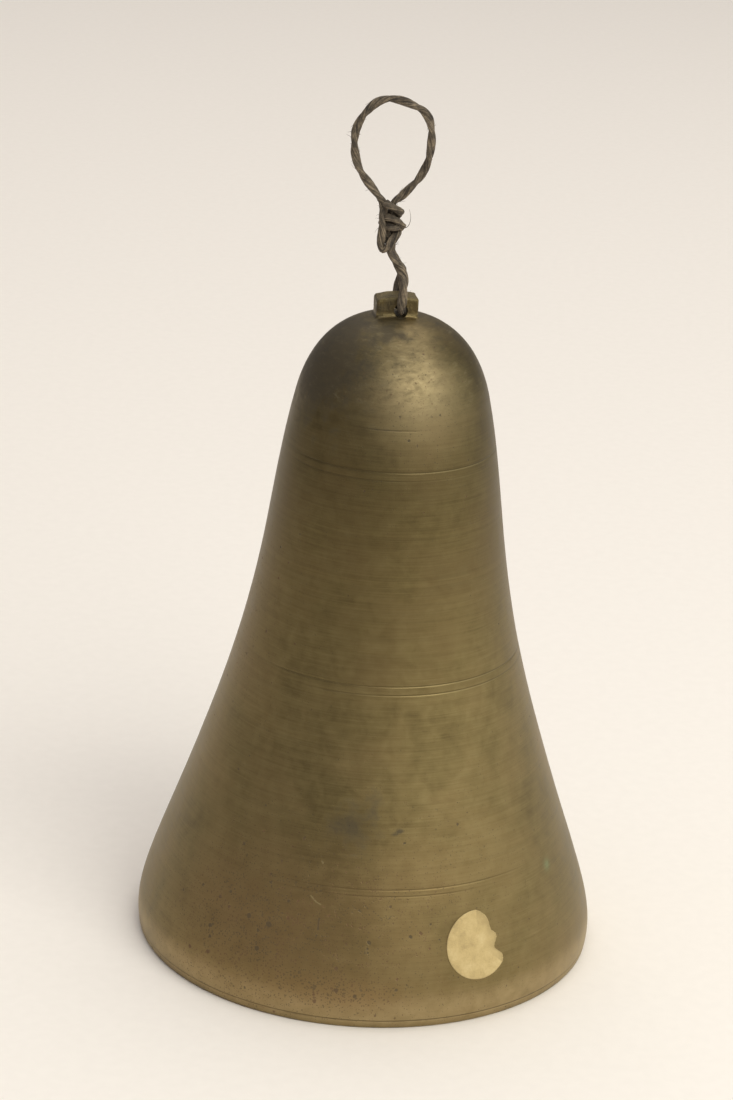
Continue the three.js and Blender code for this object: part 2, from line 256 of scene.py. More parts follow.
class Nodes:
    """Builds a material's node tree in short lines."""

    def __init__(self, name):
        self.material = bpy.data.materials.new(name)
        self.material.use_nodes = True
        self.tree = self.material.node_tree
        self.shader = self.tree.nodes["Principled BSDF"]

    def link(self, value, socket):
        if isinstance(value, bpy.types.NodeSocket):
            self.tree.links.new(value, socket)
        elif value is not None:
            socket.default_value = value

    def add(self, kind, inputs=None, **settings):
        node = self.tree.nodes.new(kind)
        for key, value in settings.items():
            setattr(node, key, value)
        for key, value in (inputs or {}).items():
            self.link(value, node.inputs[key])
        return node

    def place(self):
        """Position on the object in millimetres."""
        where = self.add("ShaderNodeTexCoord").outputs["Object"]
        return self.add("ShaderNodeMapping", {"Vector": where, "Scale": (1000, 1000, 1000)}).outputs[0]

    def attribute(self, name):
        return self.add("ShaderNodeAttribute", attribute_name=name).outputs["Fac"]

    def math(self, operation, a, b=None, clamp=False):
        node = self.add("ShaderNodeMath", {0: a}, operation=operation, use_clamp=clamp)
        self.link(b, node.inputs[1])
        return node.outputs[0]

    def times(self, a, b):
        return self.math("MULTIPLY", a, b)

    def plus(self, a, b):
        return self.math("ADD", a, b)

    def most(self, a, b):
        return self.math("MAXIMUM", a, b)

    def inverse(self, value):
        return self.math("SUBTRACT", 1.0, value)

    def noise(self, vector, scale, detail=4.0, roughness=0.55, distortion=0.0):
        inputs = {"Vector": vector, "Scale": scale, "Detail": detail, "Roughness": roughness,
                  "Distortion": distortion}
        return self.add("ShaderNodeTexNoise", inputs).outputs["Fac"]

    def lines(self, along, scale, detail=3.0):
        """Noise in one direction only, which makes bands across it."""
        inputs = {"W": along, "Scale": scale, "Detail": detail, "Roughness": 0.7}
        return self.add("ShaderNodeTexNoise", inputs, noise_dimensions="1D").outputs["Fac"]

    def spots(self, vector, scale, randomness=1.0):
        inputs = {"Vector": vector, "Scale": scale, "Randomness": randomness}
        return self.add("ShaderNodeTexVoronoi", inputs)

    def pits(self, vector, scale, share, size):
        """Dark spots in some of the cells, where the surface is pitted: 1 in a pit and 0 outside it."""
        cells = self.spots(vector, scale)
        chance = self.add("ShaderNodeSeparateColor", {"Color": cells.outputs["Color"]}).outputs["Red"]
        chosen = self.between(chance, 1 - share, 1.0, 0.35, 1.0)
        present = self.math("GREATER_THAN", chance, 1 - share)
        reach = self.times(self.times(chosen, present), self.attribute("pitted"))
        edge = self.math("SUBTRACT", self.times(reach, size), cells.outputs["Distance"])
        return self.between(edge, 0.0, 0.06)

    def stroke(self, where, start, end, width):
        """1 on a line between two places on the front of the bell, with a soft edge."""
        start, end = on_front(*start), on_front(*end)
        span = [b - a for a, b in zip(start, end)]
        offset = self.add("ShaderNodeVectorMath", {0: where, 1: start}, operation="SUBTRACT").outputs[0]
        dot = self.add("ShaderNodeVectorMath", {0: offset, 1: span}, operation="DOT_PRODUCT")
        along = dot.outputs["Value"]
        share = self.math("DIVIDE", along, sum(c * c for c in span), clamp=True)
        nearest = self.add("ShaderNodeVectorMath", {0: span, "Scale": share}, operation="SCALE").outputs[0]
        away = self.add("ShaderNodeVectorMath", {0: offset, 1: nearest}, operation="DISTANCE")
        return self.between(away.outputs["Value"], width, width * 0.4)

    def apart(self, vector):
        return self.add("ShaderNodeSeparateXYZ", {"Vector": vector}).outputs

    def together(self, x, y, z):
        return self.add("ShaderNodeCombineXYZ", {"X": x, "Y": y, "Z": z}).outputs[0]

    def stretched(self, x, y, height, across, up):
        """Coordinates for noise whose lumps are wider or narrower round the bell than up it."""
        return self.together(self.times(x, across), self.times(y, across), self.times(height, up))

    def ramp(self, value, *stops):
        node = self.add("ShaderNodeValToRGB", {"Fac": value})
        elements = node.color_ramp.elements
        while len(elements) < len(stops):
            elements.new(0.5)
        for element, (position, colour) in zip(elements, stops):
            element.position = position
            element.color = (*colour, 1)
        return node.outputs["Color"]

    def between(self, value, low, high, start=0.0, end=1.0):
        inputs = {"Value": value, "From Min": low, "From Max": high, "To Min": start, "To Max": end}
        return self.add("ShaderNodeMapRange", inputs, clamp=True).outputs[0]

    def mix(self, amount, a, b, blend="MIX"):
        node = self.add("ShaderNodeMix", data_type="RGBA", blend_type=blend)
        self.link(amount, node.inputs["Factor"])
        for socket, value in ((node.inputs["A"], a), (node.inputs["B"], b)):
            self.link((*value, 1) if isinstance(value, tuple) else value, socket)
        return node.outputs["Result"]

    def tint(self, colour, mask, share, other):
        """Mixes in this share of another colour where the mask is 1."""
        return self.mix(self.times(mask, share), colour, other)

    def feed(self, name, value):
        """A value or link for one of the shader's own sockets."""
        self.link(value, self.shader.inputs[name])

    def bump(self, height, distance, strength=1.0, normal=None):
        node = self.add("ShaderNodeBump", {"Height": height, "Distance": distance * MM, "Strength": strength})
        self.link(normal, node.inputs["Normal"])
        return node.outputs[0]


def srgb(red, green, blue):
    """A colour given as 0 to 255 screen values, as the linear values that shaders take."""
    def linear(value):
        value /= 255
        return value / 12.92 if value <= 0.04045 else ((value + 0.055) / 1.055) ** 2.4
    return linear(red), linear(green), linear(blue)


# -------- materials

# Marks on the front of the bell, each a line between two places given as x and height in millimetres: a
# hooked scratch, a nick above it and a dark run below.
SCRATCH_DOWN = ((-9.4, 22.6), (-8.4, 21.7))
SCRATCH_ACROSS = ((-8.4, 21.7), (-7.6, 21.4))
NICK = ((-7.7, 28.6), (-7.6, 28.4))
RUN = ((-7.7, 19.0), (-7.8, 17.2))


def on_front(x, height):
    """The place on the front of the bell at this x and height."""
    radius = float(np.interp(height, OUTER[:, 1], OUTER[:, 0]))
    return x, -math.sqrt(radius**2 - x**2), height


def bell_metal():
    """Aged bronze, turned on a lathe: fine broken rings, dark pits and stains, a worn lip band, dull lug, and
    painted shade and highlights.
    """
    n = Nodes("bell_metal")
    where = n.place()
    along = n.attribute("along")
    x, y, z = n.apart(where)
    brushed_in = n.stretched(x, y, along, 0.10, 3.4)
    brushed = n.noise(brushed_in, 1.0, 5.0, 0.7)
    rings = n.lines(along, 0.9, 5.0)
    clouds = n.noise(where, 0.07, 4.0, 0.55)
    mottle = n.noise(where, 0.35, 5.0, 0.6, 0.4)
    grain = n.noise(where, 2.4, 5.0, 0.75)

    tone = n.plus(n.times(brushed, 0.30), n.times(mottle, 0.28))
    tone = n.plus(tone, n.times(clouds, 0.42))
    colour = n.ramp(
        tone,
        (0.36, srgb(108, 94, 61)),
        (0.47, srgb(126, 111, 73)),
        (0.53, srgb(133, 118, 79)),
        (0.64, srgb(145, 131, 90)),
    )
    colour = n.mix(n.between(clouds, 0.42, 0.62, 0.0, 0.30), colour, srgb(128, 104, 68))
    ring_shade = n.between(rings, 0.3, 0.7, 0.93, 1.05)
    # Painted shade: darker up the barrel towards the crown, for the dim room it reflects there; held back in
    # the dome's highlight area.
    upper_shade = n.between(n.plus(along, n.between(clouds, 0.3, 0.7, -9, 9)), 56, 98, 0.0, 0.42)
    upper_shade = n.times(upper_shade, n.inverse(n.attribute("highlight_area")))
    shade = n.times(ring_shade, n.inverse(upper_shade))
    colour = n.mix(1.0, colour, n.mix(shade, (0, 0, 0), (1, 1, 1)), "MULTIPLY")
    # Lip band: wear on the lip, and a painted reflection of the pale floor in its swell.
    lip_wear_and_sheen = n.times(n.attribute("lip_wear_and_sheen"), n.between(mottle, 0.3, 0.7, 0.35, 0.75))
    colour = n.mix(lip_wear_and_sheen, colour, srgb(178, 158, 118))
    filed_in = n.stretched(x, y, z, 1.6, 0.45)
    filed = n.times(n.between(n.noise(filed_in, 1.0, 4.0, 0.7), 0.42, 0.6), n.attribute("lug"))
    colour = n.tint(colour, filed, 0.5, srgb(64, 54, 38))
    scuff_in = n.stretched(x, y, along, 0.55, 3.0)
    scuffs = n.noise(scuff_in, 1.0, 3.0, 0.6)
    light_scuff = n.times(n.between(scuffs, 0.52, 0.62), n.attribute("rubbed"))
    dark_scuff = n.times(n.between(scuffs, 0.46, 0.38), n.attribute("rubbed"))
    colour = n.tint(colour, light_scuff, 0.35, srgb(168, 152, 112))
    colour = n.tint(colour, dark_scuff, 0.5, srgb(80, 70, 50))
    film_in = n.stretched(x, y, along, 0.42, 0.8)
    highlight_area = n.attribute("highlight_area")
    # Painted highlight: paler, greyer colour where the dome catches the window light.
    colour = n.tint(colour, highlight_area, 0.35, srgb(150, 141, 116))
    tarnish = n.noise(film_in, 1.0, 6.0, 0.72, 0.5)
    crown = n.attribute("crown")
    dark_film = n.times(n.between(tarnish, 0.48, 0.66), crown)
    pale_film = n.times(n.between(tarnish, 0.44, 0.32), crown)
    colour = n.tint(colour, dark_film, 0.55, srgb(72, 68, 54))
    colour = n.tint(colour, pale_film, 0.42, srgb(158, 148, 116))
    # Dirt in the incised lines, with painted shade on their upper flanks.
    colour = n.tint(colour, n.attribute("groove_dirt_and_shade"), 0.6, srgb(56, 48, 33))
    # Painted highlights, partly wear: the front of the lug's foot, the lug's top edges, and the lower flanks
    # of the incised lines on the right.
    colour = n.tint(colour, n.attribute("bright"), 0.6, srgb(196, 180, 132))

    colour = n.mix(n.between(n.attribute("pitted"), 0.6, 1.25, 0.0, 0.5), colour, srgb(146, 118, 80))
    # Stains, and painted shade on the crown's upper left, darker and duller.
    ragged = n.plus(n.attribute("stain_and_shade"), n.between(mottle, 0.3, 0.7, -0.35, 0.35))
    stain_and_shade = n.times(n.between(ragged, 0.25, 0.8), n.between(n.attribute("stain_and_shade"), 0.02, 0.15))
    colour = n.tint(colour, stain_and_shade, 0.7, srgb(66, 59, 46))

    warmth = n.noise(where, 0.18, 3.0, 0.6)
    warped = n.add("ShaderNodeTexNoise", {"Vector": where, "Scale": 1.6, "Detail": 3.0}).outputs["Color"]
    pushed = {0: warped, 1: (0.55, 0.55, 0.55), 2: where}
    crooked = n.add("ShaderNodeVectorMath", pushed, operation="MULTIPLY_ADD").outputs[0]
    big = n.pits(crooked, 0.55, 0.34, 0.27)
    small = n.pits(crooked, 1.35, 0.44, 0.31)
    specks = n.pits(crooked, 2.6, 0.72, 0.45)
    sunk = n.most(big, n.times(small, 0.75))
    dark = n.most(sunk, n.times(specks, 0.75))
    hook = n.most(n.stroke(where, *SCRATCH_DOWN, 0.17), n.stroke(where, *SCRATCH_ACROSS, 0.15))
    hook = n.most(hook, n.stroke(where, *NICK, 0.20))
    colour = n.tint(colour, hook, 0.75, srgb(176, 160, 116))
    dark = n.most(dark, n.stroke(where, *RUN, 0.26))
    pit_colour = n.mix(n.between(warmth, 0.48, 0.56), srgb(46, 39, 28), srgb(88, 54, 34))
    colour = n.tint(colour, dark, 0.62, pit_colour)
    green = n.attribute("verdigris")
    colour = n.tint(colour, green, 0.4, srgb(112, 142, 104))
    n.feed("Base Color", colour)

    dull = n.most(dark, n.most(green, n.times(stain_and_shade, 0.6)))
    n.feed("Metallic", n.between(dull, 0, 1, 0.94, 0.4))
    rough = n.plus(n.between(mottle, 0.3, 0.7, 0.40, 0.47), n.between(brushed, 0.3, 0.7, -0.02, 0.03))
    rough = n.plus(rough, n.times(n.attribute("rubbed"), 0.08))
    rough = n.plus(rough, n.times(highlight_area, n.between(tarnish, 0.35, 0.65, 0.02, 0.14)))
    n.feed("Roughness", n.plus(rough, n.times(dull, 0.2)))

    normal = n.bump(n.plus(n.times(brushed, 0.8), n.times(rings, 0.4)), 0.005, 0.8)
    normal = n.bump(n.times(brushed, highlight_area), 0.009, 0.8, normal)
    scratches = n.times(scuffs, n.attribute("rubbed"))
    normal = n.bump(scratches, 0.004, 0.6, normal)
    normal = n.bump(filed, 0.10, 0.8, normal)
    normal = n.bump(grain, 0.012, 0.6, normal)
    normal = n.bump(n.inverse(sunk), 0.04, 0.6, normal)
    n.feed("Normal", normal)
    return n.material


def forged_iron(name, light, rust):
    """Old iron with a thin coat of brown rust, patchy and slightly pitted."""
    n = Nodes(name)
    where = n.place()
    patches = n.noise(where, 0.35, 6.0, 0.65)
    grain = n.noise(where, 3.0, 6.0, 0.7)
    amount = n.plus(n.times(patches, 0.7), n.times(grain, 0.3))
    colour = n.ramp(amount, (0.38, light), (0.50, rust), (0.64, tuple(c * 0.5 for c in rust)))
    n.feed("Base Color", colour)
    n.feed("Metallic", n.between(amount, 0.4, 0.55, 0.9, 0.25))
    n.feed("Roughness", n.between(amount, 0.35, 0.65, 0.42, 0.78))
    normal = n.bump(patches, 0.12, 0.5)
    n.feed("Normal", n.bump(grain, 0.05, 0.8, normal))
    return n.material


def twine_fibre():
    """Stiff, dirty grey-brown hemp, with strands that follow the twist."""
    n = Nodes("twine_fibre")
    where = n.place()
    strand = n.add("ShaderNodeAttribute", attribute_name="strand").outputs["Vector"]
    patches = n.noise(where, 0.7, 4.0, 0.6)
    strands = n.noise(strand, 1.6, 4.0, 0.7)
    hairs = n.noise(where, 6.0, 5.0, 0.75, 0.5)
    amount = n.plus(n.times(patches, 0.25), n.times(strands, 0.55))
    amount = n.plus(amount, n.times(hairs, 0.2))
    colour = n.ramp(amount, (0.40, srgb(32, 27, 22)), (0.5, srgb(82, 72, 59)), (0.60, srgb(150, 134, 110)))
    # Painted shade in the crease between the two plies.
    colour = n.tint(colour, n.attribute("crease_shade"), 0.55, srgb(42, 35, 28))
    n.feed("Base Color", colour)
    n.feed("Roughness", 0.82)
    normal = n.bump(strands, 0.16, 0.9)
    n.feed("Normal", n.bump(hairs, 0.06, 0.8, normal))
    return n.material


def label_paper():
    """Yellowed paper, rubbed and stained, greyer where its top layer has come away."""
    n = Nodes("label_paper")
    where = n.place()
    cloud = n.noise(where, 0.35, 5.0, 0.6)
    fibre = n.noise(where, 3.5, 6.0, 0.75, 0.8)
    amount = n.plus(n.times(cloud, 0.6), n.times(fibre, 0.4))
    dark, middle, pale = srgb(168, 147, 100), srgb(192, 169, 117), srgb(206, 186, 136)
    colour = n.ramp(amount, (0.34, dark), (0.5, middle), (0.66, pale))
    torn = n.times(n.attribute("torn"), n.between(fibre, 0.35, 0.6, 0.3, 1.0))
    colour = n.mix(torn, colour, srgb(158, 138, 92))
    n.feed("Base Color", colour)
    n.feed("Roughness", 0.85)
    normal = n.bump(fibre, 0.05, 0.6)
    n.feed("Normal", n.bump(cloud, 0.15, 0.4, normal))
    return n.material


def floor_paper():
    n = Nodes("floor_paper")
    where = n.place()
    colour = n.mix(n.between(n.noise(where, 0.4, 5.0), 0.35, 0.65), srgb(244, 238, 230), srgb(246, 240, 232))
    n.feed("Base Color", colour)
    n.feed("Roughness", 0.7)
    return n.material


# -------- twine

# The route repeats the CAD solids': from the knot down in front of the lug, through it, up behind it, and
# round the loop from the top of the knot. Metres.
FRONT_LEG = [
    (-0.00175, -0.00092, 0.1323), (-0.0013, -0.00092, 0.1314), (-0.0006, -0.00095, 0.1303),
    (0.00015, -0.0011, 0.1292), (0.00065, -0.00165, 0.1283), (0.00088, -0.00265, 0.1276),
    (0.00086, -0.0033, 0.1266), (0.00074, -0.00334, 0.125), (0.00066, -0.00328, 0.1233),
    (0.00064, -0.00266, 0.12215),
]
BACK_LEG = [
    (-0.00019, 0.00282, 0.12215), (-0.00028, 0.0034, 0.1233), (-0.00015, 0.0035, 0.125),
    (0.0001, 0.0035, 0.1266), (0.00025, 0.0028, 0.1278), (0.0003, 0.0017, 0.1286),
    (0.00005, 0.00098, 0.1294), (-0.00065, 0.0009, 0.1304), (-0.0014, 0.00093, 0.1313),
    (-0.00185, 0.00095, 0.1322),
]
LOOP = [
    (-0.00175, 0.0002, 0.1412), (-0.0006, 0.0003, 0.1422), (0.0008, 0.0003, 0.1437),
    (0.0024, 0.0003, 0.1457), (0.0035, 0.0002, 0.1479), (0.00405, 0.0, 0.1501),
    (0.0042, -0.0002, 0.1522), (0.0041, -0.0003, 0.1546), (0.0035, -0.0003, 0.1566),
    (0.0023, -0.0002, 0.158), (0.0003, -0.0001, 0.1589), (-0.0018, 0.0, 0.1595),
    (-0.0038, 0.0001, 0.1596), (-0.0056, 0.0002, 0.1589), (-0.0071, 0.0003, 0.1575),
    (-0.0083, 0.0003, 0.1558), (-0.00905, 0.0002, 0.154), (-0.00925, 0.0001, 0.1521),
    (-0.0091, 0.0, 0.15), (-0.0086, -0.0001, 0.148), (-0.0077, -0.0002, 0.1462),
    (-0.00615, -0.0003, 0.1442), (-0.00475, -0.0003, 0.1425), (-0.00375, -0.0002, 0.1412),
]
# Inside the knot, measured from its foot: the standing part, the end that comes down from the loop and wraps
# it, and the end that comes up from behind the lug.
KNOT_FOOT = (-0.0023, 0.0, 0.132)
KNOT_CORE = [
    (0.0003, -0.0006, 0.0016), (-0.0002, -0.0002, 0.003), (-0.0002, 0.0001, 0.0048),
    (0.0002, 0.0002, 0.0072),
]
KNOT_WRAP = [
    (-0.0012, -0.0005, 0.0079), (-0.0013, -0.0009, 0.0069), (-0.00125, -0.0013, 0.0052),
    (-0.0013, -0.0014, 0.0034), (-0.0013, -0.0013, 0.0017), (-0.0009, -0.0014, 0.0008),
    (-0.0002, -0.0016, 0.0012), (0.0004, -0.0016, 0.0022), (0.001, -0.0012, 0.0031),
    (0.0015, -0.0004, 0.0037), (0.0014, 0.0007, 0.0041), (0.0006, 0.0015, 0.0044),
    (-0.0006, 0.0015, 0.0047), (-0.0014, 0.0006, 0.005), (-0.0011, -0.0005, 0.0051),
    (-0.0004, -0.0012, 0.0051), (0.0005, -0.0015, 0.005), (0.0013, -0.0009, 0.0049),
    (0.0016, 0.0002, 0.0052), (0.001, 0.0013, 0.0056), (-0.0002, 0.0015, 0.006),
    (-0.0012, 0.0008, 0.0063), (-0.0011, -0.0004, 0.0066), (-0.0003, -0.0012, 0.0067),
    (0.0007, -0.0014, 0.0065), (0.0014, -0.0012, 0.006), (0.0019, -0.0009, 0.0053),
    (0.0024, -0.0006, 0.0048),
]
KNOT_TUCK = [
    (-0.0009, -0.0007, 0.0091), (-0.0002, -0.0013, 0.0089), (0.0007, -0.0013, 0.0085),
    (0.0015, -0.0008, 0.0079), (0.0018, 0.0001, 0.0073), (0.0014, 0.0011, 0.0067),
    (0.0005, 0.0015, 0.0058), (0.0006, 0.0013, 0.0042), (0.0004, 0.0012, 0.0026),
    (0.0005, 0.001, 0.0012),
]


def through_hole():
    """The straight run of the twine inside the lug, from front to back, in metres."""
    points = []
    for share in (-0.9, -0.4, 0, 0.4, 0.9):
        point = Vector((HOLE_X, share * LUG_HALF_DEPTH, HOLE_HEIGHT + RISE_IN_HOLE))
        point.rotate(Matrix.Rotation(LUG_YAW, 3, "Z"))
        points.append((point + LUG_CENTRE.to_3d()) * MM)
    return points


def in_knot(points):
    return [Vector(KNOT_FOOT) + Vector(p) for p in points]


def twine_route():
    """The whole length of twine, from the end tucked into the top of the knot to the end that wraps it."""
    points = in_knot(KNOT_TUCK) + BACK_LEG[::-1] + through_hole()[::-1] + FRONT_LEG[::-1]
    points += in_knot(KNOT_CORE) + LOOP + in_knot(KNOT_WRAP)
    return smooth_path([Vector(p) / MM for p in points], 0.25)


def ply_section(distance, count, swell):
    """Outline of two plies lying side by side, turned with the twist, with the ridges of their fibres."""
    ply_radius, ply_offset, pitch = 0.53, 0.25, 10.4
    ply_radius, ply_offset = ply_radius * swell, ply_offset * swell
    turn = -2 * math.pi * distance / pitch
    outline, crease_shade, strand = [], [], []
    for i in range(count):
        angle = 2 * math.pi * i / count
        across = ply_offset * math.sin(angle)
        radius = ply_offset * abs(math.cos(angle)) + math.sqrt(ply_radius**2 - across**2)
        fibre = noise.noise(Vector((math.cos(angle) * 5, math.sin(angle) * 5, distance * 0.22)))
        lump = noise.noise(Vector((math.cos(angle), math.sin(angle), distance * 0.45)))
        radius *= 1 + 0.07 * fibre + 0.07 * lump
        outline.append((radius * math.cos(angle + turn), radius * math.sin(angle + turn)))
        # How deep in the crease between the plies each point lies, for painted shade.
        crease_shade.append(1 - min(1, abs(math.cos(angle)) * 2.2))
        strand.append((2.6 * math.cos(angle), 2.6 * math.sin(angle), distance * 0.16))
    return outline, crease_shade, strand


def thickness(point):
    """The twine is fuller in its two legs, where it has untwisted a little."""
    beside_lug = smoothstep(abs(point.y), 2.5, 3.1) * smoothstep(point.z, 122.6, 123.6)
    neck = smoothstep(point.z, 125.0, 126.5) * (1 - smoothstep(point.z, 131.0, 132.5))
    return 1 + 0.10 * max(beside_lug, neck)


def make_twine(material):
    count = 40
    route = twine_route()
    step = (route[1] - route[0]).length
    sections = [ply_section(i * step, count, thickness(point)) for i, point in enumerate(route)]
    points, faces = sweep(route, lambda i: sections[i][0])
    twine = add_object("twine", points, faces, material)
    set_attribute(twine, "crease_shade", [v for _, crease_shade, _ in sections for v in crease_shade] + [0.5, 0.5])
    strands = [v for _, _, strand in sections for v in strand] + [(0, 0, 0), (0, 0, 0)]
    set_vectors(twine, "strand", strands)
    place(twine, "twine", "twine", "twine_bight", "twine_knot", "twine_loop")
    fibres = make_fibres(route, material)
    length = sum((b - a).length for a, b in zip(route, route[1:])) * MM
    print("twine length, m:", round(length, 4))


# The loose hairs, and the share of them left out away from the knot.
HAIRS, LEFT_OUT = 230, 0.6
HAIR_RADIUS, CURL_RADIUS = 0.045, 0.07
CURL = [
    (2.3, -0.5, 4.8), (2.8, -0.5, 4.8), (3.3, -0.5, 5.2), (3.6, -0.4, 6.0), (3.6, -0.2, 7.1), (3.3, 0, 8.1),
]


def make_fibres(route, material):
    """Loose hairs that stand off the twine, most of them round the knot, and one long curl beside it."""
    rng = random.Random(7)
    points, faces = [], []
    frames = frames_along(route)
    knot_low, knot_high = KNOT_FOOT[2] / MM, KNOT_FOOT[2] / MM + 10
    for _ in range(HAIRS):
        centre, ahead, side, up = frames[rng.randrange(4, len(frames) - 4)]
        near_knot = knot_low < centre.z < knot_high
        if not near_knot and rng.random() < LEFT_OUT:
            continue
        angle = rng.uniform(0, 2 * math.pi)
        outward = side * math.cos(angle) + up * math.sin(angle)
        heading = (ahead * rng.choice((-1, 1)) + outward * rng.uniform(0.15, 0.8)).normalized()
        hair = [centre + outward * 0.5]
        for _ in range(rng.randint(5, 11)):
            drift = Vector((rng.gauss(0, 1), rng.gauss(0, 1), rng.gauss(0, 1)))
            heading = (heading + drift * 0.22).normalized()
            hair.append(hair[-1] + heading * rng.uniform(0.1, 0.24))
        add_hair(points, faces, hair, HAIR_RADIUS)
    knot = Vector(KNOT_FOOT) / MM
    add_hair(points, faces, smooth_path([knot + Vector(p) for p in CURL], 0.25), CURL_RADIUS)
    fibres = add_object("twine_fibres", points, faces, material)
    # The loose hairs take a little of the same painted shade.
    set_attribute(fibres, "crease_shade", [0.35] * len(points))
    return place(fibres, "twine", "twine")


def add_hair(points, faces, hair, radius):
    first = len(points)
    last = len(hair) - 1
    made, between = sweep(hair, lambda i: circle(radius * (1 - 0.75 * i / last), 5))
    points += made
    faces += [tuple(first + i for i in face) for face in between]


# -------- bell casting

SEGMENTS = 480
RING_STEP = 0.55
CUT_STEP, CUT_CLEARING = 0.07, 0.42
INNER_RINGS, INNER_END = 90, 1.2
CROWN_RADIUS = 9.0

# The incised lines: height, depth of cut, and the azimuths in degrees between which the line is clear.
GROOVES = [
    (104.6, 0.035, -15, 14),
    (97.3, 0.05, -50, 200),
    (95.8, 0.03, -55, 10),
    (59.3, 0.055, -42, 210),
    (57.8, 0.045, -22, 190),
    (24.6, 0.022, -20, 45),
    (23.5, 0.018, -24, 28),
    (1.5, 0.09, -180, 180),
]
GROOVE_WIDTH = 0.13


def cubic(start, first, second, end, count=400):
    t = np.linspace(0, 1, count)[:, None]
    start, first, second, end = (np.array(p, float) for p in (start, first, second, end))
    return start * (1 - t) ** 3 + first * 3 * t * (1 - t) ** 2 + second * 3 * t**2 * (1 - t) + end * t**3


def outer_curve():
    """The outer profile, from the lip to the apex, as rows of radius and height."""
    waist = (WAIST_RADIUS, WAIST_HEIGHT)
    shoulder = (SHOULDER_RADIUS, SHOULDER_HEIGHT)
    flare = cubic(
        (LIP_RADIUS, 0),
        (LIP_RADIUS + BOW_SWELL, BOW_REACH),
        (WAIST_RADIUS + WAIST_TAPER * WAIST_REACH, WAIST_HEIGHT - WAIST_REACH),
        waist,
    )
    barrel = cubic(
        waist,
        (WAIST_RADIUS - WAIST_TAPER * WAIST_REACH, WAIST_HEIGHT + WAIST_REACH),
        (SHOULDER_RADIUS + SHOULDER_TAPER * SHOULDER_REACH_DOWN, SHOULDER_HEIGHT - SHOULDER_REACH_DOWN),
        shoulder,
    )
    dome = cubic(
        shoulder,
        (SHOULDER_RADIUS - SHOULDER_TAPER * SHOULDER_REACH_UP, SHOULDER_HEIGHT + SHOULDER_REACH_UP),
        (APEX_REACH, APEX_HEIGHT),
        (0, APEX_HEIGHT),
    )
    return np.vstack([flare, barrel[1:], dome[1:]])


OUTER = outer_curve()
OUTER_ALONG = np.concatenate([[0], np.cumsum(np.hypot(*np.diff(OUTER, axis=0).T))])
OUTER_SLOPE = np.gradient(OUTER, axis=0)
OUTER_NORMAL = np.stack([OUTER_SLOPE[:, 1], -OUTER_SLOPE[:, 0]], 1) / np.hypot(*OUTER_SLOPE.T)[:, None]


def on_outer(along):
    """Radius, height and outward direction at a distance along the outer profile from the lip."""
    columns = [OUTER[:, 0], OUTER[:, 1], OUTER_NORMAL[:, 0], OUTER_NORMAL[:, 1]]
    return [np.interp(along, OUTER_ALONG, column) for column in columns]


def dome_height(radius):
    """Height of the dome's outer surface at a radius from the axis."""
    return np.interp(radius, OUTER[::-1, 0], OUTER[::-1, 1])


def along_of_height(height):
    return np.interp(height, OUTER[:, 1], OUTER_ALONG)


def wall_at(height):
    side = BOW_WALL + (WAIST_WALL - BOW_WALL) * smoothstep(height, BOW_TOP, WAIST_HEIGHT)
    return side + (CROWN_WALL - side) * smoothstep(height, CROWN_BOTTOM, APEX_HEIGHT)


def ring_places():
    """Distances along the outer profile for the rings of the mesh, closer together at each incised line."""
    end = np.interp(-CROWN_RADIUS, -OUTER[:, 0], OUTER_ALONG)
    places = set(np.arange(0.35, end, RING_STEP).tolist() + [float(end)])
    for height, *_ in GROOVES:
        middle = along_of_height(height)
        places = {p for p in places if abs(p - middle) > CUT_CLEARING or p == end}
        places |= {float(middle + k * CUT_STEP) for k in range(-5, 6)}
    return sorted(p for p in places if 0.3 < p <= end)


def clear_part(from_front, start, end):
    """Where an incised line is clear, from 0 to 1, by degrees round the bell from its front."""
    middle, half = (start + end) / 2, (end - start) / 2
    turn = np.abs(np.mod(from_front - middle + 180, 360) - 180)
    all_round, mostly = half >= 180, half > 20
    return 1 - smoothstep(turn, half - 8, half + 8) * (not all_round) * (0.8 if mostly else 1)


def groove_depth(along, azimuth):
    """Depth of the incised lines, which are cut and worn unevenly round the bell."""
    from_front = np.degrees(np.mod(azimuth + math.pi / 2 + math.pi, 2 * math.pi) - math.pi)
    total = np.zeros(len(azimuth))
    for index, (height, depth, start, end) in enumerate(GROOVES):
        clear = clear_part(from_front, start, end)
        wear = 0.8 + 0.2 * np.sin(azimuth * (2 + index) + index * 1.3) * np.sin(azimuth * 5 + index)
        offset = (along - along_of_height(height)) / GROOVE_WIDTH
        total += depth * clear * wear * math.exp(-offset**2)
    return total


def groove_line(along, azimuth, above):
    """A thin line beside the middle of each incised line, moved up by above, from 0 to 1: used for dirt with
    painted shade, and for a painted highlight.
    """
    from_front = np.degrees(azimuth)
    total = np.zeros(len(azimuth))
    for height, depth, start, end in GROOVES:
        clear = clear_part(from_front, start, end)
        offset = (along - along_of_height(height) - above) / 0.10
        total += clear * np.exp(-offset**2) * (0.6 + 8 * depth)
    return np.clip(total, 0, 1)


